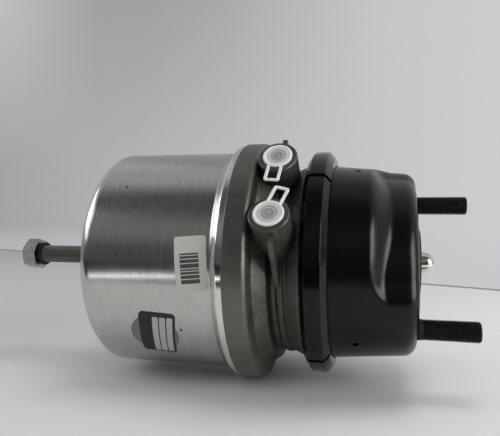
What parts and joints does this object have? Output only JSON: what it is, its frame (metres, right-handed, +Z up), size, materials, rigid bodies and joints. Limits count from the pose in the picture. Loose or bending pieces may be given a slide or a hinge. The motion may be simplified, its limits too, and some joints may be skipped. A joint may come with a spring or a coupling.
{
  "type": "spring brake chamber",
  "caption": "Combined spring and service air brake chamber with mounting studs, push rod, port plugs and release bolt wound out.",
  "frame": {"origin": "centre of the mounting face, midway between the two studs", "axes": "+X along the chamber's axis, out of the mounting face along the push rod; +Z up as it lies in the picture; the air ports face between -Y and +Z"},
  "size_m": [0.4066, 0.2051, 0.2002],
  "materials": {
    "brushed_aluminium": "drawn can, brushed round its axis",
    "die_cast_aluminium": "matt die cast skin",
    "machined_aluminium": "turned",
    "black_paint": "glossy black dip coat",
    "black_ring": "glossy black",
    "black_stud": "black oxide",
    "black_rubber": "matt",
    "diaphragm_rubber": "fabric-backed, matt",
    "spring_steel": "black coated wire",
    "plated_steel": "zinc plated",
    "bright_zinc": "bright zinc plate",
    "dark_steel": "oiled dark steel",
    "bronze": "sintered bronze",
    "guide_plastic": "acetal",
    "grey_cap": "grey plastic",
    "white_plastic": "translucent white polyethylene"
  },
  "bodies": {
    "chamber": {"spring_can": "brushed_aluminium", "vent_cap": "grey_cap", "bolt_bush": "plated_steel", "can_seal_ring": "black_rubber", "centre_body": "die_cast_aluminium", "service_port_boss": "die_cast_aluminium", "spring_port_boss": "die_cast_aluminium", "service_port_rib": "die_cast_aluminium", "spring_port_rib": "die_cast_aluminium", "rod_guide_bush": "bronze", "rod_seal": "black_rubber", "rod_wiper": "black_rubber", "clamp_ring_front": "black_ring", "clamp_ring_top": "black_ring", "clamp_ring_bottom": "black_ring", "service_diaphragm": "diaphragm_rubber", "service_housing": "black_paint", "mounting_studs": "black_stud", "front_seal": "black_rubber", "return_spring": "spring_steel", "power_spring": "spring_steel"},
    "push_rod_group": {"push_plate": "plated_steel", "push_rod": "bright_zinc"},
    "piston_group": {"spring_piston": "machined_aluminium", "piston_seal": "black_rubber", "piston_guide_ring": "guide_plastic", "piston_tube": "bright_zinc", "tube_end_cap": "guide_plastic"},
    "bolt_slider": {"bolt_o_ring": "black_rubber", "thrust_washer": "plated_steel"},
    "bolt_group": {"release_bolt": "dark_steel", "release_hex_nut": "bright_zinc"},
    "service_plug": {"service_port_plug": "white_plastic"},
    "spring_plug": {"spring_port_plug": "white_plastic"}
  },
  "joints": [
    {"name": "push_rod_stroke", "type": "slide", "parent": "chamber", "child": "push_rod_group", "axis": [1, 0, 0], "range_m": [0, 0.064], "stiffness_N_per_m": 2000, "springref_m": -0.04, "deforming": ["return_spring", "service_diaphragm"]},
    {"name": "spring_piston_lift", "type": "slide", "parent": "chamber", "child": "piston_group", "axis": [1, 0, 0], "range_m": [-0.003, 0], "stiffness_N_per_m": 20000, "springref_m": 0.02, "deforming": ["power_spring"]},
    {"name": "release_bolt_travel", "type": "slide", "parent": "chamber", "child": "bolt_slider", "axis": [1, 0, 0], "range_m": [0, 0.0855]},
    {"name": "release_bolt_turn", "type": "hinge", "parent": "bolt_slider", "child": "bolt_group", "pos_m": [-0.3, 0, 0], "axis": [1, 0, 0], "range_deg": [0, 20521]},
    {"name": "service_plug_pull", "type": "slide", "parent": "chamber", "child": "service_plug", "axis": [0, -0.7727, 0.6347], "range_m": [0, 0.04]},
    {"name": "spring_plug_pull", "type": "slide", "parent": "chamber", "child": "spring_plug", "axis": [0, -0.7727, 0.6347], "range_m": [0, 0.04]}
  ],
  "couplings": [
    {"joint": "release_bolt_turn", "follows": "release_bolt_travel", "rad_per_m": 4188.8}
  ]
}
